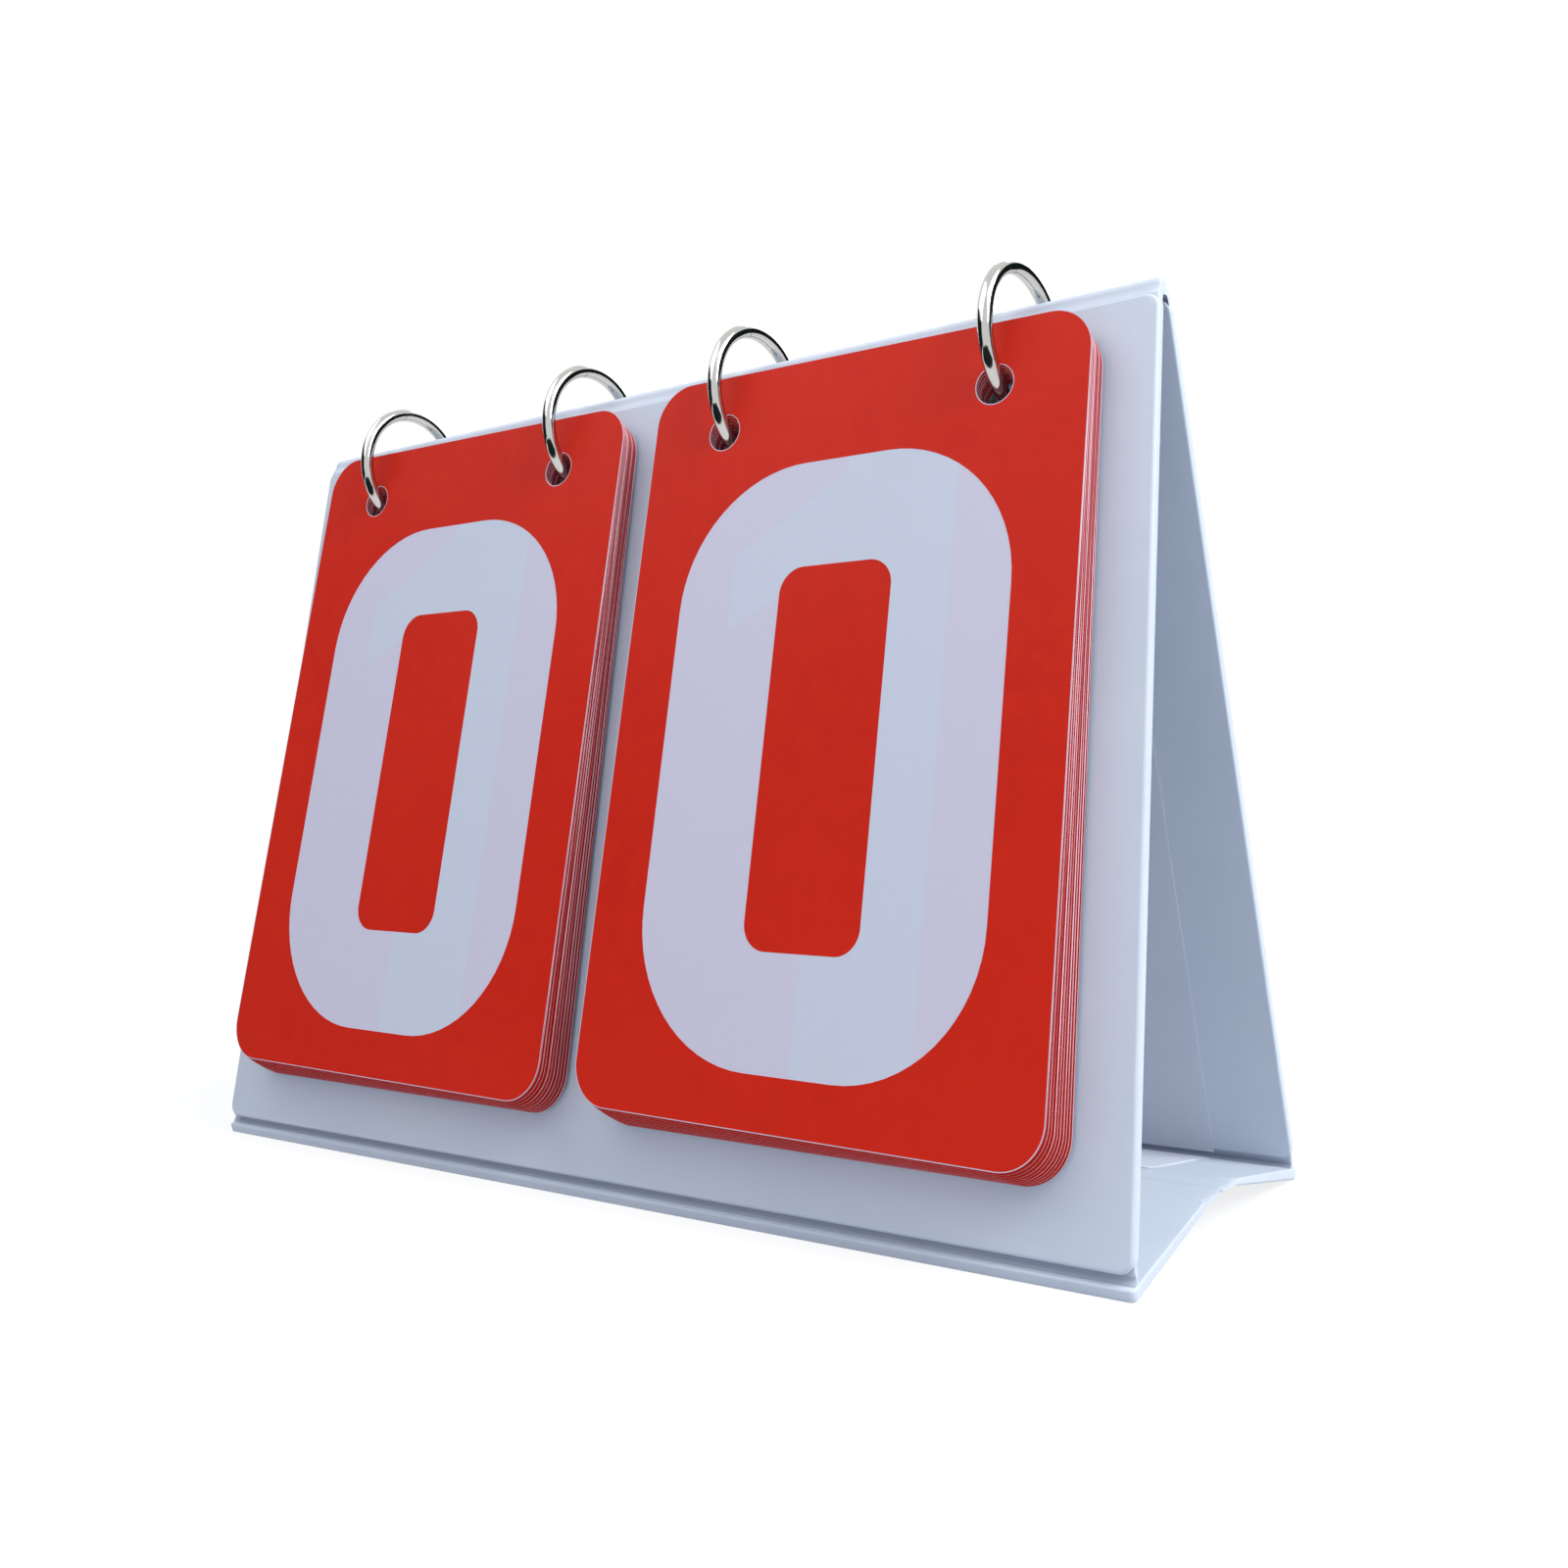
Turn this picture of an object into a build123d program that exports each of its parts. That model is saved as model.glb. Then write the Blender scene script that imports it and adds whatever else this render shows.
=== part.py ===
from build123d import *

import os
from math import cos, radians, sin, sqrt

# Tabletop flip scoreboard. A folding easel of four wrapped greyboards carries two packs of number
# cards, and four hinged binder rings run through the cards and over the easel's ridge.
# Millimetres: +Z up, the scores face -Y, +X is to the viewer's right, and the easel stands on Z = 0.
# Sections are drawn with the ridge above Y = 0. The finished parts then move along Y by
# origin_shift, which puts the origin under the middle of the whole object.

# Wrapped boards of the easel
easel_width = 205.0        # side to side, over the wrap
panel_length = 144.4       # each leaning board, along its slope
panel_lean = 12.2          # degrees from upright
board_thick = 1.6
sheet_thick = 0.2          # the wrap outside, and the liner inside
turn_in = 13.5             # wrap folded round onto the inner face at each side
side_round = 0.7           # radius of the wrapped side edges
corner_round = 2.5         # board corners, seen face on

# Ridge, where the wrap runs over the two panels
ridge_rise = 2.7           # ridge line above the panels' outer top edges
ridge_half = 2.6           # panels' outer top edges from the centre plane
ridge_round = 0.9          # half width of the rounded crest
ridge_groove = 0.45        # how deep the wrap sinks in behind each panel's top edge

# Base, two boards that meet in a raised crease
foot_gap = 3.56            # panels' lower outer edges above the floor
foot_inset = 0.12          # base edge behind the panel's lower outer edge
base_slope = 14.0          # degrees
base_edge = 0.3            # base board's end behind the point of the foot
crease_gap = 5.0           # each base board stops this far short of the crease
crease_drop = 0.35         # soft crease below the line of the boards' undersides
foot_sink = 0.2            # depth of the flat that the floor gives each foot
strip_recess = 0.5         # hinge cloth behind the outer face, at the feet
strip_clear = 0.05         # cloth to a board that it folds against
strip_inset = 1.0          # cloth stops short of the easel's sides, where the corners are round

# Number cards
cards_per_pack = 10
card_width = 89.4
card_height = 130.8
card_corner = 7.5
card_thick = 0.3
card_pitch = 0.42          # one card's back to the next, at the rings
card_fan = 0.1             # degrees that each card hangs further out than the one behind
card_skew = 0.2            # degrees that the rearmost card hangs askew in its own plane
card_twist = 0.07          # degrees more for each card in front of it
pack_gap = 8.6             # between the two packs
pack_stand_off = 0.72      # rearmost card's back to the panel
hole_room = 2.1            # round the wire, in the cards
hole_spacing = 55.8
hole_drop = 11.0           # hole centre below a card's top edge

# Binder rings
ring_radius = 12.4         # to the middle of the wire
wire_radius = 1.3
ring_drop = 5.6            # ring centre below the ridge line
card_slack = 0.85          # hole centres hang this far below the wire
panel_hole_room = 2.0      # round the wire, in the panels
panel_slack = 0.8          # wire below the middle of the panels' holes
lap_half = 2.1             # half length of the stepped lap at the top
lap_clear = 0.12
eye_radius = 1.8           # flat hinge eyes at the bottom
eye_clear = 0.1
rivet_radius = 0.6
rivet_clear = 0.05
rivet_head_radius = 1.1
rivet_head_thick = 0.25

# Worked-out sizes and places, all in the section plane (Y, Z)
leaf_thick = board_thick + 2 * sheet_thick
strip_width = easel_width - 2 * strip_inset
slope = Vector(0, -sin(radians(panel_lean)), -cos(radians(panel_lean)))
facing = Vector(0, -cos(radians(panel_lean)), sin(radians(panel_lean)))
panel_top = Vector(0, -ridge_half, foot_gap + panel_length * cos(radians(panel_lean)))
panel_foot = panel_top + slope * panel_length
ridge_height = panel_top.Z + ridge_rise

base_reach = -panel_foot.Y - foot_inset
base_along = Vector(0, cos(radians(base_slope)), sin(radians(base_slope)))
base_up = Vector(0, -sin(radians(base_slope)), cos(radians(base_slope)))
base_start = Vector(0, -base_reach, -foot_sink) + base_along * base_edge
base_length = base_reach / base_along.Y - base_edge - crease_gap

hole_radius = wire_radius + hole_room
panel_hole_radius = wire_radius + panel_hole_room
ring_centre = Vector(0, 0, ridge_height - ring_drop)
pack_back = (panel_top - ring_centre).dot(facing) + pack_stand_off
pack_centre = (pack_gap + card_width) / 2
ring_places = [side * pack_centre + hand * hole_spacing / 2 for side in (-1, 1) for hand in (-1, 1)]

fold_axis = Vector(0, 0, panel_top.Z + 0.3 * ridge_rise)
inner_foot = panel_foot - facing * leaf_thick
base_rise = (inner_foot.Y - base_start.Y - leaf_thick * base_up.Y) / base_along.Y
base_axis = base_start + base_up * (leaf_thick + 2 * strip_clear) + base_along * base_rise
rivet_axis = ring_centre - Vector(0, 0, ring_radius)


def card_directions(layer):
    """Outward normal and downhill direction of a card, layer 0 being the rearmost."""
    lean = radians(panel_lean + layer * card_fan)
    return Vector(0, -cos(lean), sin(lean)), Vector(0, -sin(lean), -cos(lean))


def card_hole_fall(layer):
    """How far downhill of the rings' axis a card's holes hang, so that the wire passes near their tops."""
    middle = pack_back + layer * card_pitch + card_thick / 2
    return sqrt(ring_radius**2 - middle**2) + card_slack


def front_reach():
    """Y distance from the ridge plane to the front card's lowest front edge."""
    layer = cards_per_pack - 1
    out, down = card_directions(layer)
    skew = radians(card_skew + layer * card_twist)
    below_holes = (card_height - hole_drop) * cos(skew)
    to_corner = (card_width / 2 - card_corner) * sin(skew) + card_corner * (1 - cos(skew))
    fall = card_hole_fall(layer) + below_holes + to_corner
    corner = ring_centre + out * (pack_back + layer * card_pitch + card_thick) + down * fall
    return -corner.Y


rear_reach = -(base_start + base_up * leaf_thick).Y
origin_shift = (front_reach() - rear_reach) / 2


def prism(outline, width):
    """Extrude a closed outline in the Y-Z plane to both sides of the middle of the easel."""
    return extrude(Plane.YZ * make_face(outline), amount=width / 2, both=True)


def flat(point):
    """A point of the section as local coordinates of the Y-Z plane."""
    return (point.Y, point.Z)


def across(point):
    """The same point on the other side of the ridge plane."""
    return Vector(point.X, -point.Y, point.Z)


def slab(plane, length, inset):
    """A leaf-shaped slab with round sides and round plan corners, inset all round from the whole leaf.

    The plane lies on the leaf's outer face, at one end, and its z axis runs along the leaf.
    """
    middle = Pos(0, -leaf_thick / 2)
    width, thick = easel_width - 2 * inset, leaf_thick - 2 * inset
    section = middle * RectangleRounded(width, thick, side_round - inset)
    body = extrude(plane * section, amount=length)
    outline = RectangleRounded(width, length - 2 * inset, corner_round - inset)
    plan = Pos(0, 0, length / 2) * Rot(90, 0, 0) * extrude(outline, amount=2 * leaf_thick, both=True)
    return body & (plane.location * plan)


def leaf(plane, length):
    """Board, wrap and liner of one wrapped board."""
    board = slab(plane, length, sheet_thick)
    liner_section = Pos(0, sheet_thick / 2 - leaf_thick) * Rectangle(
        easel_width - 2 * turn_in, sheet_thick
    )
    liner = extrude(plane * liner_section, amount=length)
    return {"board": board, "wrap": slab(plane, length, 0) - board - liner, "liner": liner}


def panel_leaf():
    """The front panel, punched for the four rings."""
    leaves = leaf(Plane(origin=panel_top, x_dir=(1, 0, 0), z_dir=slope), panel_length)
    middle = (panel_top - ring_centre).dot(facing) - leaf_thick / 2
    fall = sqrt(ring_radius**2 - middle**2) - panel_slack
    hole_plane = Plane(
        origin=ring_centre + facing * middle + slope * fall, x_dir=(1, 0, 0), z_dir=facing
    )
    punch = Cylinder(panel_hole_radius, 4 * leaf_thick)
    punches = [hole_plane * Pos(x, 0, 0) * punch for x in ring_places]
    return {name: solid - punches for name, solid in leaves.items()}


def base_leaf():
    """The front base board, with the flat that it stands on."""
    plane = Plane(origin=base_start, x_dir=(1, 0, 0), z_dir=base_along)
    below_floor = Pos(0, -base_reach / 2, -leaf_thick) * Box(
        2 * easel_width, 2 * base_reach, 2 * leaf_thick
    )
    return {name: solid - below_floor for name, solid in leaf(plane, base_length).items()}


def ridge_strip():
    """Wrap and liner glued together over the panels' top edges: a small roof with a round crest."""
    eave = panel_top - slope * strip_clear
    inner = eave - facing * leaf_thick
    groove = eave + Vector(0, ridge_groove, ridge_groove)
    crest = Vector(0, -ridge_round, ridge_height - 0.7 * ridge_round)
    top = Vector(0, 0, ridge_height)
    left_side = Polyline(flat(crest), flat(groove), flat(eave), flat(inner))
    right_side = Polyline(*[flat(across(point)) for point in (inner, eave, groove, crest)])
    bottom = Line(flat(inner), flat(across(inner)))
    crown = ThreePointArc(flat(crest), flat(top), flat(across(crest)))
    return prism(left_side + bottom + right_side + crown, strip_width)


def foot_strip():
    """Hinge cloth in the groove between the front panel's foot and the base board."""
    upper_outer = panel_foot - facing * strip_recess
    upper_inner = panel_foot - facing * leaf_thick
    base_face = base_start + base_up * (leaf_thick + strip_clear)
    lower_outer = base_face + base_along * strip_recess
    lower_inner = base_face + base_along * base_rise
    hollow = (upper_outer + lower_outer) * 0.5 + base_along * strip_recess / 2
    sides = Polyline(flat(upper_outer), flat(upper_inner), flat(lower_inner), flat(lower_outer))
    mouth = ThreePointArc(flat(lower_outer), flat(hollow), flat(upper_outer))
    return prism(sides + mouth, strip_width)


def crease_strip():
    """Soft zone between the two base boards, thinning to the bare cloth at the crease."""
    lower = base_start + base_along * base_length
    upper = lower + base_up * leaf_thick
    gap = Vector(0, -strip_clear, 0)
    far_lower = across(lower) + gap
    far_upper = across(upper) + gap
    crease = Vector(0, 0, lower.Z - lower.Y * base_along.Z / base_along.Y - crease_drop)
    back = crease + Vector(0, 0, 3 * sheet_thick)
    under = ThreePointArc(flat(lower), flat(crease), flat(far_lower))
    far_end = Line(flat(far_lower), flat(far_upper))
    over = ThreePointArc(flat(far_upper), flat(back), flat(upper))
    near_end = Line(flat(upper), flat(lower))
    return prism(under + far_end + over + near_end, strip_width)


def card(layer, side):
    """One number card; layer 0 is the rearmost, and side is -1 for the left pack."""
    out = card_directions(layer)[0]
    back = ring_centre + out * (pack_back + layer * card_pitch)
    sheet = Pos(0, hole_drop - card_height / 2) * RectangleRounded(card_width, card_height, card_corner)
    holes = [Pos(hand * hole_spacing / 2, 0) * Circle(hole_radius) for hand in (-1, 1)]
    hang = Pos(side * pack_centre, -card_hole_fall(layer)) * Rot(0, 0, -card_skew - layer * card_twist)
    plane = Plane(origin=back, x_dir=(1, 0, 0), z_dir=out)
    return extrude(plane * hang * (sheet - holes), amount=card_thick)


def rod(radius, x_from, x_to):
    """A cylinder along X through the ring's hinge axis, from one X to another."""
    return Pos((x_from + x_to) / 2, 0, -ring_radius) * Rot(0, 90, 0) * Cylinder(radius, x_to - x_from)


def span(y_from, y_to, z_from, z_to):
    """A block as wide as the ring needs, between the given Y and Z."""
    size_y, size_z = y_to - y_from, z_to - z_from
    return Pos(0, (y_from + y_to) / 2, (z_from + z_to) / 2) * Box(8 * wire_radius, size_y, size_z)


def ring():
    """Front half, rear half and rivet of one ring, centred on the origin with its axis along X."""
    wire = Rot(0, 90, 0) * Torus(ring_radius, wire_radius)
    edge = ring_radius + 2 * wire_radius
    tongue = lap_half - lap_clear
    step = lap_clear / 2
    under_lap = ring_radius - 2 * wire_radius
    front_room = span(-edge, 0, -edge, 0) + span(-edge, -lap_half, 0, edge)
    front_room += span(-edge, tongue, ring_radius + step, edge)
    rear_room = span(0, edge, -edge, 0) + span(lap_half, edge, 0, edge)
    rear_room += span(-tongue, edge, under_lap, ring_radius - step)
    front_half = wire & front_room
    rear_half = wire & rear_room
    swing = eye_radius + eye_clear
    front_half -= rod(swing, -step, 3 * wire_radius)
    rear_half -= rod(swing, -3 * wire_radius, step)
    front_half += rod(eye_radius, -wire_radius, -step)
    rear_half += rod(eye_radius, step, wire_radius)
    front_half -= rod(rivet_radius, -edge, edge)
    rear_half -= rod(rivet_radius + rivet_clear, -edge, edge)
    rear_head = wire_radius + rivet_clear
    rivet = rod(rivet_radius, -wire_radius, rear_head)
    rivet += rod(rivet_head_radius, -wire_radius - rivet_head_thick, -wire_radius)
    rivet += rod(rivet_head_radius, rear_head, rear_head + rivet_head_thick)
    return {"front_half": front_half, "rear_half": rear_half, "hinge_rivet": rivet}


def scoreboard():
    """Every part by name, in the finished frame."""
    parts = {}
    for name, solid in panel_leaf().items():
        parts["front_panel_" + name] = solid
        parts["rear_panel_" + name] = mirror(solid, about=Plane.XZ)
    for name, solid in base_leaf().items():
        parts["front_base_" + name] = solid
        parts["rear_base_" + name] = mirror(solid, about=Plane.XZ)
    parts["ridge_hinge_strip"] = ridge_strip()
    parts["front_foot_hinge_strip"] = foot_strip()
    parts["rear_foot_hinge_strip"] = mirror(parts["front_foot_hinge_strip"], about=Plane.XZ)
    parts["base_crease_strip"] = crease_strip()
    for side, pack in ((-1, "left"), (1, "right")):
        for layer in range(cards_per_pack):
            number = cards_per_pack - 1 - layer
            parts[f"{pack}_card_{number}"] = card(layer, side)
    for index, x in enumerate(ring_places):
        for name, solid in ring().items():
            parts[f"ring_{index + 1}_{name}"] = Pos(x, 0, ring_centre.Z) * solid
    return {name: Pos(0, origin_shift, 0) * solid for name, solid in parts.items()}


def main():
    os.makedirs("parts", exist_ok=True)
    for name, solid in scoreboard().items():
        export_step(solid, f"parts/{name}.step")


if __name__ == "__main__":
    main()
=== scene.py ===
import math

import bmesh
import bpy
from mathutils import Matrix, Vector, noise
from mathutils.geometry import delaunay_2d_cdt


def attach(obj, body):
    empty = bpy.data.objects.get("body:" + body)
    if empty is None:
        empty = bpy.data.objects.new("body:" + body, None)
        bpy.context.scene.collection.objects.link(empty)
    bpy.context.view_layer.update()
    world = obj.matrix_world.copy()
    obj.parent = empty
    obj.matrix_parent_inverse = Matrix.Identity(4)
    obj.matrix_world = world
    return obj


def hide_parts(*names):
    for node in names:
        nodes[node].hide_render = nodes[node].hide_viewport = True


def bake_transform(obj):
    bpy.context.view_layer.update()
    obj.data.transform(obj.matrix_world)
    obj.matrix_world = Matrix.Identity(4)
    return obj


# Tabletop flip scoreboard: the looks. Metres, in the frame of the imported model: the scores face -Y,
# +X is to the viewer's right and the floor is Z = 0.

MM = 0.001
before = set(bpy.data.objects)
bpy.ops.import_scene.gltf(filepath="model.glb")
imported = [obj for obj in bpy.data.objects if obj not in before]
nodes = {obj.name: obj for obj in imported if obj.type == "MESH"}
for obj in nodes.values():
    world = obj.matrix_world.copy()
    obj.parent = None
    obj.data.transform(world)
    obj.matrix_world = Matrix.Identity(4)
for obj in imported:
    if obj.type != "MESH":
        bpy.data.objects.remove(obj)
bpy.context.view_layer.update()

SIDES = (("front", 1), ("rear", -1))
PACKS = ("left", "right")
DIGITS = range(10)
RINGS = range(1, 5)

# Easel, in mm. Its section is drawn with the ridge above Y = 0, and SHIFT takes it to the model's frame.
SHIFT = 2.104
HALF_WIDE = 102.5
LEAF_THICK = 2.0
SKIN_THICK = 1.9                        # the liner, 0.2 thick, stands a little proud of the wrap's turn-in
SHEET = 0.2
PLAN_ROUND = 2.5                        # corners of each wrapped board, seen face on
BASE_PLAN_ROUND = 0.9                   # the base boards' corners at the feet
PANEL_TOP, PANEL_LEAN, PANEL_LENGTH = (-2.6, 144.699), 12.2, 144.4
BASE_START, BASE_SLOPE, BASE_LENGTH = (-32.709, -0.127), 14.0, 28.71
BASE_SAG = 1.8                          # how far the base boards sag towards the crease
BASE_RELIEF = 0.7                       # how much their undersides thin beyond the feet
PANEL_EDGE, BASE_EDGE = 0.7, 0.45       # how round the wrap's outer edges are
INNER_EDGE = 0.4                        # and its turned-in edges
LINER_HALF = 89.0                       # half width of the liner inside the wrap's turn-ins
CLOTH_HALF = 102.3                      # the hinge cloth fills the notches at the boards' round corners

# Packs, in mm
CARD_ROUND = 7.5
PACK_CENTRE = 49.0
HOLE_SPACING = 55.8
HOLE_DROP, HOLE_ROUND = 11.0, 3.4       # card holes below the card's top edge, and their radius
PUNCH_DROP, PUNCH_ROUND = 13.7, 3.33    # ring holes below the panel's top edge, and their radius
HOLE_SIDES = 48

# Card print, in mm
INK_THICK = 0.02
INK_RIM = 0.15                          # bare rim round the front cards' print
BACK_INK_RIM = 0.02                     # and round the print of the cards behind, cut flush
DIGIT_WIDE, DIGIT_HIGH = 66.9, 102.6
DIGIT_DROP = 5.4                        # numerals sit this far below the middle of the card
STEM, BAR = 22.1, 19.0                  # width of upright strokes, and height of level ones
OUTER_ROUND, INNER_ROUND = 25.0, 4.6

# The way that the front panel faces, and its cards to within a degree
PANEL_OUT = Vector((0, -math.cos(math.radians(PANEL_LEAN)), math.sin(math.radians(PANEL_LEAN))))


# ---------------------------------------------------------------- materials

def linear(value):
    """One sRGB channel from 0 to 255 as the linear number that a shader takes."""
    value /= 255.0
    return value / 12.92 if value <= 0.04045 else ((value + 0.055) / 1.055) ** 2.4


def colour(red, green, blue):
    return (linear(red), linear(green), linear(blue), 1.0)


class Shader:
    """A material's node tree, with short ways to add to it."""

    def __init__(self, name):
        self.material = bpy.data.materials.new(name)
        self.material.use_nodes = True
        self.nodes = self.material.node_tree.nodes
        self.links = self.material.node_tree.links
        self.bsdf = self.nodes["Principled BSDF"]
        self.place = None

    def node(self, kind, **settings):
        made = self.nodes.new("ShaderNode" + kind)
        for key, value in settings.items():
            setattr(made, key, value)
        return made

    def put(self, socket, value):
        """Set a socket, or link another node's output to it."""
        if isinstance(value, bpy.types.NodeSocket):
            self.links.new(value, socket)
        else:
            socket.default_value = value

    def position(self):
        if self.place is None:
            self.place = self.node("TexCoord").outputs["Object"]
        return self.place

    def noise(self, scale, detail=3.0, roughness=0.55, stretch=(1, 1, 1)):
        mapped = self.node("Mapping")
        self.put(mapped.inputs["Vector"], self.position())
        mapped.inputs["Scale"].default_value = stretch
        made = self.node("TexNoise")
        self.put(made.inputs["Vector"], mapped.outputs["Vector"])
        made.inputs["Scale"].default_value = scale
        made.inputs["Detail"].default_value = detail
        made.inputs["Roughness"].default_value = roughness
        return made.outputs["Fac"]

    def math(self, operation, first, second=0.0, third=None):
        made = self.node("Math", operation=operation)
        self.put(made.inputs[0], first)
        self.put(made.inputs[1], second)
        if third is not None:
            self.put(made.inputs[2], third)
        return made.outputs[0]

    def dot(self, vector, direction):
        made = self.node("VectorMath", operation="DOT_PRODUCT")
        self.put(made.inputs[0], vector)
        made.inputs[1].default_value = direction
        return made.outputs["Value"]

    def spread(self, value, low, high, to_low=0.0, to_high=1.0):
        """Map low to high onto another range, and hold it there beyond."""
        made = self.node("MapRange")
        self.put(made.inputs["Value"], value)
        limits = {"From Min": low, "From Max": high, "To Min": to_low, "To Max": to_high}
        for key, number in limits.items():
            self.put(made.inputs[key], number)
        return made.outputs["Result"]

    def mix(self, amount, first, second):
        made = self.node("Mix", data_type="RGBA")
        self.put(made.inputs["Factor"], amount)
        self.put(made.inputs["A"], first)
        self.put(made.inputs["B"], second)
        return made.outputs["Result"]

    def bump(self, *layers):
        """Stack bump layers, each a (height, depth in metres) pair."""
        normal = None
        for height, depth in layers:
            made = self.node("Bump")
            made.inputs["Strength"].default_value = 1.0
            made.inputs["Distance"].default_value = depth
            self.put(made.inputs["Height"], height)
            if normal is not None:
                self.put(made.inputs["Normal"], normal)
            normal = made.outputs["Normal"]
        self.put(self.bsdf.inputs["Normal"], normal)

    def finish(self, base, roughness, **values):
        """Fill in the shader's own sockets; an underscore in a name stands for a space."""
        self.put(self.bsdf.inputs["Base Color"], base)
        self.put(self.bsdf.inputs["Roughness"], roughness)
        for key, value in values.items():
            self.bsdf.inputs[key.replace("_", " ")].default_value = value
        return self.material


def wrap_material(name, painted_groove_shade=False):
    """Satin white PVC cover: a very fine even grain, slow waves in the sheet and faint handling marks.

    One for the hinges has painted shade: it turns blue-grey in its grooves, where ambient occlusion finds
    the surface hemmed in.
    """
    s = Shader(name)
    grain = s.noise(2600, 2.0)
    waves = s.noise(14, 1.0)
    smudge = s.noise(30, 4.0, 0.6)
    base = s.mix(s.spread(smudge, 0.35, 0.7), colour(212, 221, 232), colour(206, 216, 229))
    if painted_groove_shade:
        # painted shade: blue-grey darkening wherever ambient occlusion within 3 mm finds a groove or
        # crevice
        occlusion_shade = s.node("AmbientOcclusion", samples=8, only_local=False)
        occlusion_shade.inputs["Distance"].default_value = 3 * MM
        base = s.mix(s.spread(occlusion_shade.outputs["AO"], 0.4, 0.95), colour(84, 90, 118), base)
    s.bump((grain, 0.012 * MM), (waves, 0.5 * MM))
    rough = s.spread(smudge, 0.3, 0.7, 0.38, 0.48)
    return s.finish(base, rough, Specular_IOR_Level=0.5)


def liner_material():
    """Matt white paper liner inside the easel."""
    s = Shader("white_liner")
    fibre = s.noise(1800, 4.0, stretch=(0.4, 1, 1))
    cloud = s.noise(40, 3.0)
    base = s.mix(s.spread(cloud, 0.3, 0.7), colour(218, 223, 234), colour(211, 217, 229))
    s.bump((fibre, 0.01 * MM))
    return s.finish(base, 0.6, Specular_IOR_Level=0.35)


def board_material():
    """Grey recycled board with flecks."""
    s = Shader("greyboard")
    fleck = s.noise(900, 4.0, 0.7)
    base = s.mix(s.spread(fleck, 0.35, 0.65), colour(120, 116, 110), colour(160, 155, 146))
    s.bump((fleck, 0.05 * MM))
    return s.finish(base, 0.9, Specular_IOR_Level=0.2)


def bleed_and_gap_shade(s):
    """Noise for the cut edges of a card, fine through the sheet and slow along it: it sets pink bleed
    against dark-red streaks that partly paint the shade between cards.
    """
    through, along = 2600, 12
    parts = s.node("SeparateXYZ")
    s.put(parts.inputs[0], s.position())
    drawn = s.node("CombineXYZ")
    s.put(drawn.inputs["X"], s.math("MULTIPLY", s.dot(s.position(), PANEL_OUT), through))
    s.put(drawn.inputs["Y"], s.math("MULTIPLY", parts.outputs["Z"], along))
    streaks = s.node("TexNoise")
    s.put(streaks.inputs["Vector"], drawn.outputs[0])
    streaks.inputs["Scale"].default_value = 1.0
    return streaks.outputs["Fac"]


def paper_material(name, card=None):
    """Coated white card whose cut edges took up red from the print, in streaks; the dark-red streaks also
    stand in as painted shade between the cards.

    Where a card is given, the next card's 1 glows faintly through its printed side.
    """
    s = Shader(name)
    s.bump((s.noise(1500, 3.0), 0.006 * MM))
    base = colour(216, 216, 230)
    towards = s.dot(s.node("TexCoord").outputs["Normal"], PANEL_OUT)
    if card:
        glow = s.mix(ghost_of_one(s, card), colour(212, 208, 225), colour(208, 214, 228))
        base = s.mix(s.spread(towards, 0.3, 0.6), base, glow)
    # cut edges: pink red-ink bleed, and dark-red streaks that are partly painted shade of the gaps between
    # cards
    edge = s.mix(s.spread(bleed_and_gap_shade(s), 0.4, 0.62), colour(168, 44, 50), colour(244, 206, 212))
    base = s.mix(s.spread(s.math("ABSOLUTE", towards), 0.3, 0.6), edge, base)
    return s.finish(base, 0.45, Specular_IOR_Level=0.35)


def ghost_of_one(s, card):
    """Soft mask of a 1 as it shows through from the card behind."""
    soft = 0.4 * MM
    away = s.node("VectorMath", operation="SUBTRACT")
    s.put(away.inputs[0], s.position())
    away.inputs[1].default_value = card.middle
    across, up = (s.dot(away.outputs["Vector"], way) for way in (card.across, card.up))
    joined = None
    for shape in numeral_strokes(1):
        inside = None
        for corner, following in zip(shape, shape[1:] + shape[:1]):
            step = (Vector(following) - Vector(corner)).normalized()
            level = s.math("MULTIPLY_ADD", across, -step.y, s.math("MULTIPLY", up, step.x))
            edge = (corner[1] * step.x - corner[0] * step.y) * MM
            side = s.spread(level, edge - soft, edge + soft)
            inside = side if inside is None else s.math("MULTIPLY", inside, side)
        joined = inside if joined is None else s.math("MAXIMUM", joined, inside)
    return joined


def ink_material():
    """Solid red offset print with a satin seal: nearly even, with a faint mottle."""
    s = Shader("red_ink")
    mottle = s.noise(220, 4.0, 0.65)
    cloud = s.noise(18, 2.0)
    even = s.mix(s.spread(mottle, 0.35, 0.65), colour(214, 36, 12), colour(208, 32, 12))
    base = s.mix(s.spread(cloud, 0.35, 0.65, 0.0, 0.5), even, colour(218, 42, 20))
    s.bump((s.noise(1500, 3.0), 0.005 * MM))
    return s.finish(base, 0.42, Specular_IOR_Level=0.14)


def nickel_material(name, roughness, shade):
    """Bright, slightly warm nickel plate over drawn wire, with fine scratches."""
    s = Shader(name)
    warmth = 3
    drawn = s.noise(700, 4.0, 0.6)
    scratches = s.noise(4000, 2.0, stretch=(6, 1, 1))
    rough = s.spread(drawn, 0.3, 0.7, roughness * 0.7, roughness * 1.4)
    s.bump((drawn, 0.01 * MM), (scratches, 0.002 * MM))
    return s.finish(colour(shade, shade, shade - warmth), rough, Metallic=1.0)


# ---------------------------------------------------------------- numerals

def arc(centre, radius, start, end, steps=16):
    """Points of a circular arc, angles in degrees."""
    angles = [math.radians(start + (end - start) * i / steps) for i in range(steps + 1)]
    return [(centre[0] + radius * math.cos(a), centre[1] + radius * math.sin(a)) for a in angles]


def circle(centre, radius):
    step = 360 / HOLE_SIDES
    return arc(centre, radius, 0, 360 - step, HOLE_SIDES - 1)


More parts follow.
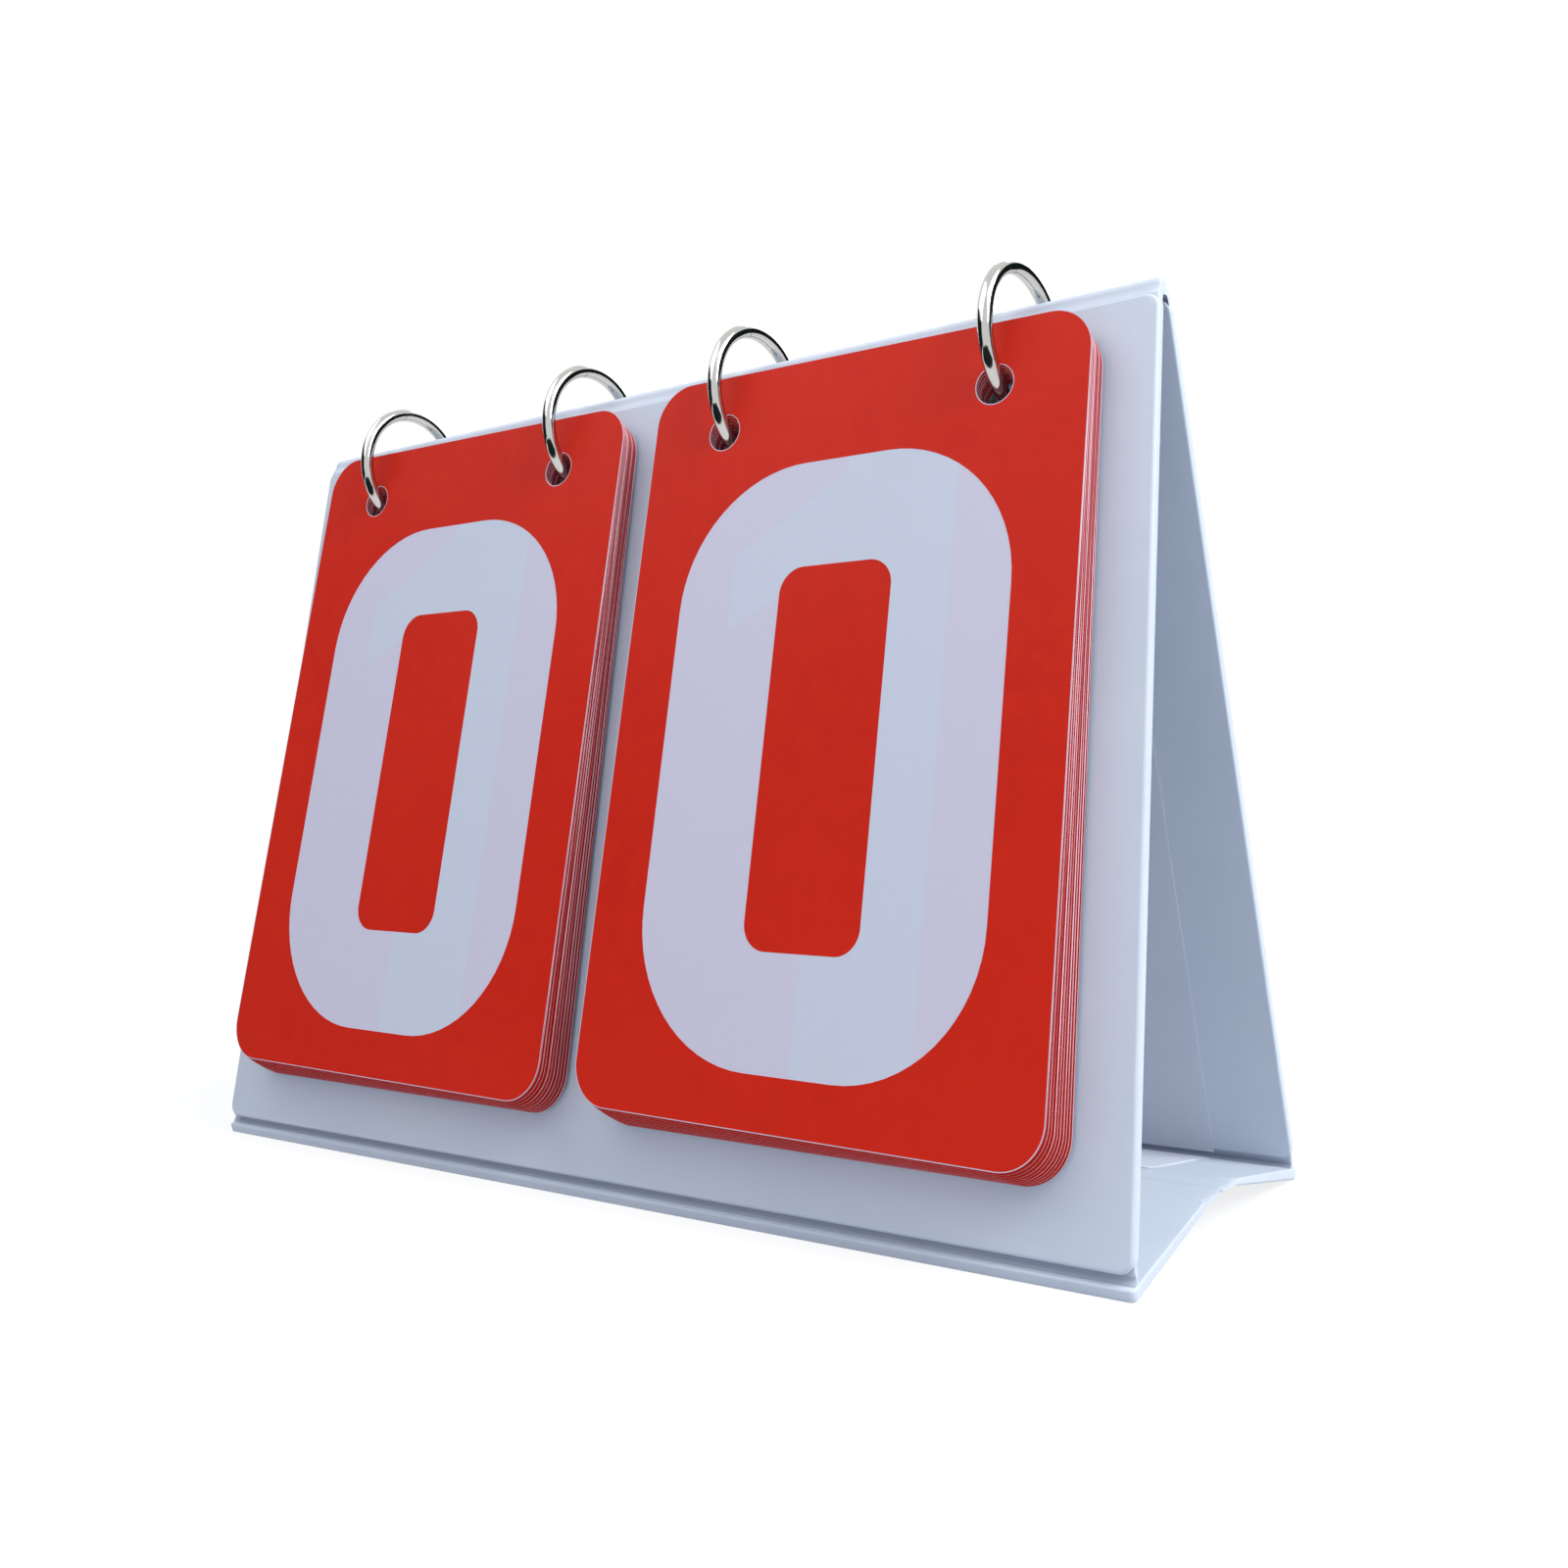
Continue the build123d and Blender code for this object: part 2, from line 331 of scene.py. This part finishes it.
def rounded_box(left, bottom, right, top, rounds):
    """A box with its own radius at each corner, from the lower left one anticlockwise."""
    corners = (
        (left, bottom, 1, 1, 180), (right, bottom, -1, 1, 270),
        (right, top, -1, -1, 0), (left, top, 1, -1, 90),
    )
    points = []
    for (x, y, inward_x, inward_y, start), radius in zip(corners, rounds):
        if radius:
            centre = (x + inward_x * radius, y + inward_y * radius)
            points += arc(centre, radius, start, start + 90)
        else:
            points.append((x, y))
    return points


def plain_box(left, bottom, right, top):
    return rounded_box(left, bottom, right, top, (0, 0, 0, 0))


def numeral_box():
    half_wide, half_high = DIGIT_WIDE / 2, DIGIT_HIGH / 2
    return -half_wide, -half_high - DIGIT_DROP, half_wide, half_high - DIGIT_DROP


def numeral_strokes(number):
    """Closed outlines in mm whose union is the numeral, before its counters are taken out."""
    left, low, right, high = numeral_box()
    waist = (low + high) / 2
    if number == 1:
        stem_left, flag_left = 0.4, -22
        stem = plain_box(stem_left, low, stem_left + STEM, high)
        flag = [(stem_left, high - 17), (stem_left, high - 2.5),
                (flag_left, high - 16), (flag_left, high - 29.6)]
        return [stem, flag]
    if number == 2:
        bowl_low, neck_low = waist - 6, low + BAR - 1
        bowl = rounded_box(left, bowl_low, right, high, (0, 0, OUTER_ROUND, OUTER_ROUND))
        neck = [(left, neck_low), (left + 1.35 * STEM, neck_low), (right, waist - 14),
                (right, bowl_low), (right - STEM, waist - 2), (left, low + BAR + 8)]
        foot = plain_box(left, low, right, low + BAR)
        return [bowl, neck, foot]
    if number == 4:
        bar_low = low + 1.1 * BAR
        stem = plain_box(right - 1.5 * STEM, low, right - STEM / 2, high)
        slope = [(left, low + 2 * BAR), (left, bar_low), (left + STEM, low + 1.6 * BAR),
                 (right - STEM / 2, high), (right - 1.9 * STEM, high)]
        bar = plain_box(left, bar_low, right, bar_low + BAR)
        return [stem, slope, bar]
    if number == 5:
        top = plain_box(left, high - BAR, right - 2, high)
        wall = plain_box(left, waist - 2, left + STEM, high)
        bowl = rounded_box(left, low, right, waist + 0.75 * BAR, (OUTER_ROUND, OUTER_ROUND, OUTER_ROUND, 0))
        return [top, wall, bowl]
    if number == 7:
        bar = plain_box(left, high - BAR, right, high)
        leg = [(left + 0.55 * STEM, low), (left + 1.6 * STEM, low),
               (right, high - BAR), (right - 1.15 * STEM, high - BAR)]
        return [bar, leg]
    return [rounded_box(left, low, right, high, (OUTER_ROUND,) * 4)]


def numeral_counters(number):
    """Closed outlines in mm that are cut out of the strokes."""
    left, low, right, high = numeral_box()
    waist = (low + high) / 2
    inner_left, inner_right = left + STEM, right - STEM
    floor, roof = low + BAR, high - BAR
    past = DIGIT_WIDE
    inner = (INNER_ROUND,) * 4
    upper_of_eight = rounded_box(inner_left, waist + BAR / 2, inner_right, roof, inner)
    lower_of_eight = rounded_box(inner_left, floor, inner_right, waist - BAR / 2, inner)
    if number == 0:
        return [rounded_box(inner_left, floor, inner_right, roof, inner)]
    if number == 2:
        slope_low, mouth_high, clip = low + BAR + 8, roof - 0.6 * BAR, 4
        return [[(inner_right, waist - 2), (left, slope_low), (-past, slope_low), (-past, mouth_high),
                 (inner_left, mouth_high), (inner_left, roof - clip), (inner_left + clip, roof),
                 (inner_right - clip, roof), (inner_right, roof - clip)]]
    if number == 3:
        mouth = plain_box(-past, floor + 0.9 * BAR, inner_left + 5, roof - 0.9 * BAR)
        return [upper_of_eight, lower_of_eight, mouth]
    if number == 4:
        bar_high, stem_left = low + 2.1 * BAR, right - 1.5 * STEM
        return [[(left + 0.95 * STEM, bar_high), (stem_left, bar_high), (stem_left, high - 1.55 * BAR)]]
    if number == 5:
        bowl_high = waist - 0.25 * BAR
        bowl = rounded_box(inner_left, floor, inner_right, bowl_high, inner)
        mouth = plain_box(-past, floor + 0.7 * BAR, inner_left + 6, bowl_high)
        return [bowl, mouth]
    if number == 6:
        lower = rounded_box(inner_left, floor, inner_right, waist - 0.4 * BAR, inner)
        upper = rounded_box(inner_left, waist + 0.6 * BAR, past, roof, (INNER_ROUND, 0, 0, INNER_ROUND))
        return [lower, upper]
    if number == 8:
        return [upper_of_eight, lower_of_eight]
    if number == 9:
        upper = rounded_box(inner_left, waist + 0.4 * BAR, inner_right, roof, inner)
        lower = rounded_box(-past, floor, inner_right, waist - 0.6 * BAR, (0, INNER_ROUND, INNER_ROUND, 0))
        return [upper, lower]
    return []


def numeral_hooks(number):
    """Closed outlines in mm inside which the counters leave the strokes: the hooks of the 6 and the 9."""
    left, low, right, high = numeral_box()
    floor, roof = low + BAR, high - BAR
    drop = 0.3 * BAR
    if number == 6:
        return [plain_box(right - STEM, roof - drop, DIGIT_WIDE, roof)]
    if number == 9:
        return [plain_box(-DIGIT_WIDE, floor, left + STEM, floor + drop)]
    return []


def numeral_loops(number):
    """All the outlines of one numeral, each with what it does to the print."""
    loops = [("stroke", shape) for shape in numeral_strokes(number)]
    loops += [("counter", shape) for shape in numeral_counters(number)]
    return loops + [("hook", shape) for shape in numeral_hooks(number)]


# ---------------------------------------------------------------- card print

class CardPlane:
    """Where a card's printed face lies: its middle, its size in mm, and the ways across, up and out."""

    def __init__(self, name):
        shape = bmesh.new()
        shape.from_mesh(nodes[name].data)
        bmesh.ops.remove_doubles(shape, verts=shape.verts, dist=0.001 * MM)
        fronts = [f for f in shape.faces if f.normal.dot(PANEL_OUT) > 0.9]
        face = max(fronts, key=lambda f: f.calc_area())
        self.out = face.normal.normalized()
        height = face.verts[0].co.dot(self.out)
        sharp = 1.0
        rims = [e for e in shape.edges if len(e.link_faces) == 2 and e.calc_face_angle() > sharp]
        side = max(rims, key=lambda e: e.calc_length())
        self.up = (side.verts[0].co - side.verts[1].co).normalized()
        if self.up.z < 0:
            self.up.negate()
        self.across = self.up.cross(self.out)
        ups = [v.co.dot(self.up) for v in shape.verts]
        sides = [v.co.dot(self.across) for v in shape.verts]
        shape.free()
        self.high = (max(ups) - min(ups)) / MM
        self.wide = (max(sides) - min(sides)) / MM
        up_middle, side_middle = (max(ups) + min(ups)) / 2, (max(sides) + min(sides)) / 2
        self.middle = self.out * height + self.up * up_middle + self.across * side_middle

    def point(self, across, up):
        """The point of the printed face so many mm from its middle."""
        return self.middle + self.across * (across * MM) + self.up * (up * MM)


def anticlockwise(outline):
    """The outline in the order that the triangulation needs, which takes the other for a hole."""
    turns = zip(outline, outline[1:] + outline[:1])
    area = sum(x * next_y - next_x * y for (x, y), (next_x, next_y) in turns)
    return outline if area > 0 else outline[::-1]


def triangles_of(loops):
    """Triangulate overlapping (kind, outline) loops.

    It gives the flat points, and each triangle with the set of kinds that it lies in.
    """
    corners, faces = [], []
    for _, outline in loops:
        first = len(corners)
        corners += [Vector(point) for point in anticlockwise(outline)]
        faces.append(list(range(first, len(corners))))
    inside_only, weld = 1, 1e-4
    points, _, triangles, _, _, owners = delaunay_2d_cdt(corners, [], faces, inside_only, weld)
    kinds = [{loops[i][0] for i in inside} for inside in owners]
    return points, list(zip(triangles, kinds))


def drop_loose(shape):
    """Delete the vertices that no face uses."""
    bmesh.ops.delete(shape, geom=[v for v in shape.verts if not v.link_faces], context="VERTS")


def ink_mesh(name, number):
    """The red layer of one card: everything but its numeral and its two punched holes."""
    card = CardPlane(name)
    rim = BACK_INK_RIM if number else INK_RIM
    half_wide, half_high = card.wide / 2 - rim, card.high / 2 - rim
    corners = (CARD_ROUND - rim,) * 4
    loops = [("card", rounded_box(-half_wide, -half_high, half_wide, half_high, corners))]
    for side in (-1, 1):
        centre = (side * HOLE_SPACING / 2, card.high / 2 - HOLE_DROP)
        loops.append(("hole", circle(centre, HOLE_ROUND + rim)))
    points, triangles = triangles_of(loops + numeral_loops(number))
    shape = bmesh.new()
    made = [shape.verts.new(card.point(p.x, p.y)) for p in points]
    for triangle, found in triangles:
        numeral = "stroke" in found and ("counter" not in found or "hook" in found)
        if "card" in found and "hole" not in found and not numeral:
            shape.faces.new([made[i] for i in triangle])
    drop_loose(shape)
    bmesh.ops.dissolve_limit(
        shape, angle_limit=math.radians(1), verts=shape.verts, edges=shape.edges, delimit={"NORMAL"}
    )
    sheet = bmesh.ops.extrude_face_region(shape, geom=shape.faces[:])
    lifted = [v for v in sheet["geom"] if isinstance(v, bmesh.types.BMVert)]
    bmesh.ops.translate(shape, verts=lifted, vec=card.out * INK_THICK * MM)
    bmesh.ops.recalc_face_normals(shape, faces=shape.faces)
    mesh = bpy.data.meshes.new(name + "_print")
    shape.to_mesh(mesh)
    shape.free()
    return mesh


def print_cards(red):
    for pack in PACKS:
        for number in DIGITS:
            name = f"{pack}_card_{number}"
            mesh = ink_mesh(name, number)
            mesh.materials.append(red)
            layer = bpy.data.objects.new(f"{name}_print", mesh)
            bpy.context.scene.collection.objects.link(layer)
            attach(layer, name)


# ---------------------------------------------------------------- wrapped cover

class Leaf:
    """One wrapped board of the easel, front (side 1) or rear (side -1), by its section line."""

    def __init__(self, start, along, out, length, side, sag=0.0):
        self.start, self.along, self.out = Vector(start), Vector(along), Vector(out)
        self.length, self.side, self.sag = length, side, sag

    def at(self, down, depth):
        """A section point so far along the board and so deep under its outer face."""
        drop = 2 * self.sag * smooth(0.5 * down / self.length)
        return self.start + self.along * down - self.out * depth - Vector((0, drop))

    def point(self, across, down, depth):
        return placed(across, self.at(down, depth), self.side)


def placed(across, section_point, side=1):
    """The model's point for an across distance and a section point, mirrored for the rear."""
    y, z = section_point
    return Vector((across, side * y + SHIFT, max(z, 0.0))) * MM


def smooth(value):
    """0 below 0, 1 above 1 and smooth between."""
    value = min(max(value, 0.0), 1.0)
    return value * value * (3 - 2 * value)


def panel_of(side):
    lean = math.radians(PANEL_LEAN)
    along, out = (-math.sin(lean), -math.cos(lean)), (-math.cos(lean), math.sin(lean))
    return Leaf(PANEL_TOP, along, out, PANEL_LENGTH, side)


def base_of(side):
    rise = math.radians(BASE_SLOPE)
    along, out = (math.cos(rise), math.sin(rise)), (math.sin(rise), -math.cos(rise))
    return Leaf(BASE_START, along, out, BASE_LENGTH, side, BASE_SAG)


def bridge(shape, row, following):
    """Faces between two closed rows of as many vertices."""
    for i in range(len(row)):
        shape.faces.new((row[i - 1], row[i], following[i], following[i - 1]))


def edge_profile(edge):
    """How the wrap goes round a board's edge: (inset, depth) steps from its outer face to its turn-in."""
    steps = 4
    quarter = [math.radians(90 * i / steps) for i in range(steps + 1)]
    outer = [(edge * (1 - math.sin(a)), edge * (1 - math.cos(a))) for a in quarter]
    inner = [(INNER_EDGE * (1 - math.cos(a)), SKIN_THICK - INNER_EDGE * (1 - math.sin(a))) for a in quarter]
    return outer + inner


def skin_mesh(name, leaf, edge, start_round, relief, holes):
    """The wrap glued round one board: soft edges all round, the turn-in inside, and the punched holes.

    The plan corners at the leaf's start have their own radius, and the leaf thins by relief beyond them.
    """
    relief_length = 9
    bends = range(2, relief_length, 2)
    bend_half = 90

    def outline(inset):
        corners = (start_round - inset,) * 2 + (PLAN_ROUND - inset,) * 2
        return rounded_box(inset - HALF_WIDE, inset, HALF_WIDE - inset, leaf.length - inset, corners)

    def slimmed(across, down, depth):
        """The leaf's own point, or for its outer side one that the relief draws in."""
        drawn = relief * smooth(down / relief_length) * smooth(2 - 2 * depth / SKIN_THICK)
        return leaf.point(across, down, depth + drawn)

    shape = bmesh.new()
    profile = edge_profile(edge)
    rows = []
    for inset, depth in profile:
        rows.append([shape.verts.new(slimmed(x, down, depth)) for x, down in outline(inset)])
    for row, following in zip(rows, rows[1:]):
        bridge(shape, row, following)
    for (inset, depth), hole_depth in ((profile[0], SHEET), (profile[-1], LEAF_THICK - SHEET)):
        loops = [("leaf", outline(inset))] + [("hole", hole) for hole in holes]
        if relief:
            loops += [("bend", plain_box(-bend_half, down, bend_half, down + 1)) for down in bends]
        points, triangles = triangles_of(loops)
        made = [shape.verts.new(slimmed(p.x, p.y, depth)) for p in points]
        for triangle, found in triangles:
            if "leaf" in found and "hole" not in found:
                shape.faces.new([made[i] for i in triangle])
        for hole in holes:
            rim = [shape.verts.new(leaf.point(x, down, depth)) for x, down in hole]
            wall = [shape.verts.new(leaf.point(x, down, hole_depth)) for x, down in hole]
            bridge(shape, rim, wall)
    drop_loose(shape)
    bmesh.ops.remove_doubles(shape, verts=shape.verts, dist=0.002 * MM)
    return finished(name, shape)


def eased(points, rounds=2):
    """Round the corners of a closed section by cutting them, as soft cloth would."""
    for _ in range(rounds):
        cut = []
        for point, following in zip(points, points[1:] + points[:1]):
            cut += [point.lerp(following, 0.25), point.lerp(following, 0.75)]
        points = cut
    return points


def cloth_mesh(name, section, side=1, ripple=0.05, half=CLOTH_HALF):
    """A soft strip of that closed section along the easel, pinched at both ends and faintly uneven."""
    section = eased([Vector(point) for point in section])
    middle = sum(section, Vector((0, 0))) / len(section)
    steps, plain_half = 48, half - 2
    wave_long, wave_round = 9, 3
    stations = [(-half, 0.8), (0.2 - half, 0.92), (0.7 - half, 1.0)]
    stations += [((2 * i / steps - 1) * plain_half, 1.0) for i in range(steps + 1)]
    stations += [(-x, scale) for x, scale in reversed(stations[:3])]
    shape = bmesh.new()
    rows = []
    for x, scale in stations:
        row = []
        for point in section:
            wave = ripple * noise.noise(Vector((x / wave_long, point.x / wave_round, point.y / wave_round)))
            spot = middle + (point - middle) * scale + Vector((0, wave))
            row.append(shape.verts.new(placed(x, spot, side)))
        rows.append(row)
    for row, following in zip(rows, rows[1:]):
        bridge(shape, row, following)
    shape.faces.new(rows[0])
    shape.faces.new(rows[-1])
    return finished(name, shape)


def finished(name, shape):
    """A smooth-shaded object made of that bmesh, with its flat faces kept flat."""
    bmesh.ops.recalc_face_normals(shape, faces=shape.faces)
    mesh = bpy.data.meshes.new(name)
    shape.to_mesh(mesh)
    shape.free()
    mesh.shade_smooth()
    made = bpy.data.objects.new(name, mesh)
    bpy.context.scene.collection.objects.link(made)
    even = made.modifiers.new("even", "WEIGHTED_NORMAL")
    even.keep_sharp = True
    return made


def cover(made, wrap, *stands_for):
    """Finish a piece of the cover, which may stand for CAD nodes."""
    made.data.materials.append(wrap)
    if stands_for:
        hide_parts(*stands_for)


def line_bases(liner):
    """The paper liner on each base board, which sags with it."""
    base, start, steps, glued = base_of(1), 2.6, 6, LEAF_THICK - 0.25
    stops = [start] + [BASE_LENGTH * i / steps for i in range(1, steps + 1)]
    section = [base.at(down, LEAF_THICK) for down in stops]
    section += [base.at(down, glued) for down in reversed(stops)]
    for word, side in SIDES:
        sheet = cloth_mesh(f"{word}_base_lining", section, side, 0.03, LINER_HALF)
        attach(sheet, f"{word}_base")
        sheet.data.materials.append(liner)
        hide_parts(f"{word}_base_liner")


def wrap_boards(wrap):
    """The cover of the two panels, with the ring holes, and of the two base boards."""
    punches = []
    for side in (-1, 1):
        for hand in (-1, 1):
            centre = (side * PACK_CENTRE + hand * HOLE_SPACING / 2, PUNCH_DROP)
            punches.append(circle(centre, PUNCH_ROUND))
    for word, side in SIDES:
        skin = skin_mesh(f"{word}_panel_cover", panel_of(side), PANEL_EDGE, PLAN_ROUND, 0.0, punches)
        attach(skin, f"{word}_panel")
        cover(skin, wrap, f"{word}_panel_wrap")
        leaf = base_of(side)
        skin = skin_mesh(f"{word}_base_cover", leaf, BASE_EDGE, BASE_PLAN_ROUND, BASE_RELIEF, [])
        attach(skin, f"{word}_base")
        cover(skin, wrap, f"{word}_base_wrap", f"{word}_base_board")


def wrap_ridge(wrap):
    """The cloth over the ridge, a loop from the front panel's top edge to the rear one's."""
    panel = panel_of(1)
    front = [panel.at(0, 1.45), panel.at(3.2, 1.45), panel.at(3.2, 0.45), panel.at(0, 0.45)]
    front += [(-1.75, 144.95), (-1.3, 145.75), (-1.0, 146.85)]
    rear = [(-y, z) for y, z in reversed(front)]
    top, underside = (0, 147.6), (0, 144.5)
    ridge = cloth_mesh("ridge_cloth", front + [top] + rear + [underside])
    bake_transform(ridge)
    cover(ridge, wrap, "ridge_hinge_strip")


def foot_section():
    """The fold at a foot: down the groove outside, into the base board, and back up inside the easel."""
    panel, base, low = panel_of(1), base_of(1), PANEL_LENGTH
    outside = [panel.at(low - 3.2, 0.45), panel.at(low - 0.3, 0.9), (-31.6, 2.85), base.at(0.8, 1.8)]
    buried = [base.at(0.8, 0.45), base.at(3.2, 0.45), base.at(3.2, 1.5)]
    inside = [base.at(2.1, 2.03), panel.at(low - 0.1, 2.0), panel.at(low - 3.2, 1.5)]
    return outside + buried + inside


def crease_section():
    """Half of the base's crease: out of the base board to just past the middle, and back on top."""
    base, far, meeting = base_of(1), BASE_LENGTH, 0.1
    under = [base.at(far - 3, 0.9), base.at(far - 0.2, 0.8), base.at(far + 2.4, 0.55), (meeting, 6.1)]
    over = [(meeting, 6.95), base.at(far + 2.4, 1.3), base.at(far - 0.2, 1.85), base.at(far - 3, 1.75)]
    return under + over


def wrap_hinges(wrap):
    """The stretches of cover between the boards, where wrap and liner are glued together."""
    wrap_ridge(wrap)
    for word, side in SIDES:
        cloth = cloth_mesh(f"{word}_foot_cloth", foot_section(), side)
        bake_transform(cloth)
        cover(cloth, wrap, f"{word}_foot_hinge_strip")
        crease = cloth_mesh(f"{word}_crease_cloth", crease_section(), side, 0.02)
        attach(crease, f"{word}_base")
        cover(crease, wrap, "base_crease_strip")


# ---------------------------------------------------------------- CAD nodes

def dress(name, material):
    """Give a CAD node its finish."""
    mesh = nodes[name].data
    mesh.materials.clear()
    mesh.materials.append(material)


def dress_nodes(liner):
    board = board_material()
    wire = nickel_material("nickel_wire", 0.08, 196)
    rivet = nickel_material("rivet_steel", 0.28, 175)
    plain = paper_material("card_paper")
    for panel in ("front_panel", "rear_panel"):
        dress(panel + "_board", board)
        dress(panel + "_liner", liner)
    for pack in PACKS:
        for number in DIGITS:
            dress(f"{pack}_card_{number}", plain)
        front = f"{pack}_card_0"
        dress(front, paper_material(front + "_paper", CardPlane(front)))
    for ring in RINGS:
        dress(f"ring_{ring}_hinge_rivet", rivet)
        for half in ("front", "rear"):
            dress(f"ring_{ring}_{half}_half", wire)
            nodes[f"ring_{ring}_{half}_half"].data.shade_smooth()


# ---------------------------------------------------------------- stage, light and camera

CAMERA_AZIMUTH, CAMERA_ELEVATION, CAMERA_ROLL = 36.38, -3.68, -2.63
CAMERA_PLACE = (0.1940, -0.2273, 0.0777)
SENSOR, LENS, SHIFT_Y = 36.0, 35.53, -0.0925
FLOOR_REACH = 3.0
FLOOR_SHADE, FLOOR_GLOW = 0.25, 0.80    # seen directly: how much the shadow shows, and the white under it
SHADOW_FADES_FROM, SHADOW_ENDS_AT = 0.13, 0.34
WORLD_LIGHT = 0.47


def make_camera():
    data = bpy.data.cameras.new("camera")
    data.sensor_width = SENSOR
    data.lens = LENS
    data.shift_y = SHIFT_Y
    data.clip_start = 0.005
    camera = bpy.data.objects.new("camera", data)
    bpy.context.scene.collection.objects.link(camera)
    turn, tilt, roll = map(math.radians, (CAMERA_AZIMUTH, CAMERA_ELEVATION, CAMERA_ROLL))
    back = Vector((math.sin(turn) * math.cos(tilt), -math.cos(turn) * math.cos(tilt), math.sin(tilt)))
    level = Vector((math.cos(turn), math.sin(turn), 0))
    upright = back.cross(level)
    right = level * math.cos(roll) + upright * math.sin(roll)
    up = upright * math.cos(roll) - level * math.sin(roll)
    facing = Matrix((right, up, back)).transposed().to_4x4()
    camera.matrix_world = Matrix.Translation(CAMERA_PLACE) @ facing
    bpy.context.scene.camera = camera


def point_at(made, place, aim):
    """Put an object somewhere, with its -Z side towards its aim."""
    made.location = place
    made.rotation_mode = "QUATERNION"
    made.rotation_quaternion = (Vector(aim) - Vector(place)).to_track_quat("-Z", "Y")


def area_light(name, place, aim, size, power):
    """A soft studio lamp: metres, and watts."""
    data = bpy.data.lights.new(name, "AREA")
    data.shape = "RECTANGLE"
    data.size, data.size_y = size
    data.energy = power
    lamp = bpy.data.objects.new(name, data)
    bpy.context.scene.collection.objects.link(lamp)
    point_at(lamp, place, aim)


def seen_directly(tree):
    """1 for rays that look straight at a surface, or at its reflection or through glass."""
    path = tree.nodes.new("ShaderNodeLightPath")
    seen = path.outputs["Is Camera Ray"]
    for other in ("Is Glossy Ray", "Is Transmission Ray"):
        either = tree.nodes.new("ShaderNodeMath")
        either.operation = "MAXIMUM"
        tree.links.new(seen, either.inputs[0])
        tree.links.new(path.outputs[other], either.inputs[1])
        seen = either.outputs[0]
    return seen


def make_world():
    """A faintly blue even light, and white wherever a ray sees the world directly."""
    world = bpy.data.worlds.new("studio")
    bpy.context.scene.world = world
    world.use_nodes = True
    tree = world.node_tree
    own = tree.nodes["Background"]
    own.inputs["Color"].default_value = colour(224, 232, 247)
    own.inputs["Strength"].default_value = WORLD_LIGHT
    white = tree.nodes.new("ShaderNodeBackground")
    white.inputs["Color"].default_value = (1, 1, 1, 1)
    blend = tree.nodes.new("ShaderNodeMixShader")
    tree.links.new(seen_directly(tree), blend.inputs[0])
    tree.links.new(own.outputs[0], blend.inputs[1])
    tree.links.new(white.outputs[0], blend.inputs[2])
    tree.links.new(blend.outputs[0], tree.nodes["World Output"].inputs["Surface"])


def floor_material():
    """Pale matt floor. Seen directly it is white, fading out the object's soft shadow further off."""
    s = Shader("floor_white")
    s.finish(colour(196, 200, 208), 0.9, Specular_IOR_Level=0.1)
    paper = s.node("BsdfDiffuse")
    paper.inputs["Color"].default_value = (FLOOR_SHADE, FLOOR_SHADE, FLOOR_SHADE, 1)
    glow = s.node("Emission")
    glow.inputs["Strength"].default_value = FLOOR_GLOW
    near = s.node("AddShader")
    s.links.new(paper.outputs[0], near.inputs[0])
    s.links.new(glow.outputs[0], near.inputs[1])
    white = s.node("Emission")
    distance = s.node("VectorMath", operation="LENGTH")
    s.put(distance.inputs[0], s.position())
    far = s.node("MixShader")
    s.put(far.inputs[0], s.spread(distance.outputs["Value"], SHADOW_FADES_FROM, SHADOW_ENDS_AT))
    s.links.new(near.outputs[0], far.inputs[1])
    s.links.new(white.outputs[0], far.inputs[2])
    both = s.node("MixShader")
    s.put(both.inputs[0], seen_directly(s.material.node_tree))
    s.links.new(s.bsdf.outputs[0], both.inputs[1])
    s.links.new(far.outputs[0], both.inputs[2])
    s.links.new(both.outputs[0], s.nodes["Material Output"].inputs["Surface"])
    return s.material


def flat_board(name, wide, high, material):
    """A level rectangle of the studio, which isn't part of the object."""
    mesh = bpy.data.meshes.new(name)
    corners = [(x, y, 0) for x, y in plain_box(-wide / 2, -high / 2, wide / 2, high / 2)]
    mesh.from_pydata(corners, [], [(0, 1, 2, 3)])
    mesh.materials.append(material)
    board = bpy.data.objects.new(name, mesh)
    bpy.context.scene.collection.objects.link(board)
    return board


def dark_flag(name, place, aim, size):
    """A black studio flag that only reflections show, to draw dark lines in the bright rings."""
    s = Shader(name)
    flag = flat_board(name, *size, s.finish(colour(30, 38, 36), 0.9, Specular_IOR_Level=0.0))
    point_at(flag, place, aim)
    flag.visible_camera = flag.visible_diffuse = flag.visible_shadow = False
    flag.visible_transmission = flag.visible_volume_scatter = False


def make_studio():
    make_world()
    flat_board("floor", 2 * FLOOR_REACH, 2 * FLOOR_REACH, floor_material())
    area_light("key", (-0.3, -0.45, 0.75), (0, 0, 0.1), (1.0, 0.8), 3.3)
    area_light("side", (0.75, 0.05, 0.7), (0.05, 0, 0.05), (0.7, 0.7), 10.0)
    area_light("back", (-0.1, 0.9, 0.7), (0, 0, 0.1), (0.8, 0.8), 3.0)
    dark_flag("flag_right", (0.66, 0.48, 0.26), (0, 0, 0.14), (1.3, 0.8))
    dark_flag("flag_left", (-0.66, -0.48, 0.26), (0, 0, 0.14), (1.3, 0.8))
    dark_flag("flag_low", (0.05, -0.40, 0.012), (0.05, -0.40, 1), (0.9, 0.5))


# ---------------------------------------------------------------- the whole scene

def main():
    wrap_boards(wrap_material("white_wrap"))
    # the hinges' wrap carries painted shade in its grooves
    wrap_hinges(wrap_material("hinge_wrap_painted_shade", True))
    liner = liner_material()
    line_bases(liner)
    dress_nodes(liner)
    print_cards(ink_material())
    make_studio()
    make_camera()
    bpy.context.scene.view_settings.view_transform = "Standard"


main()
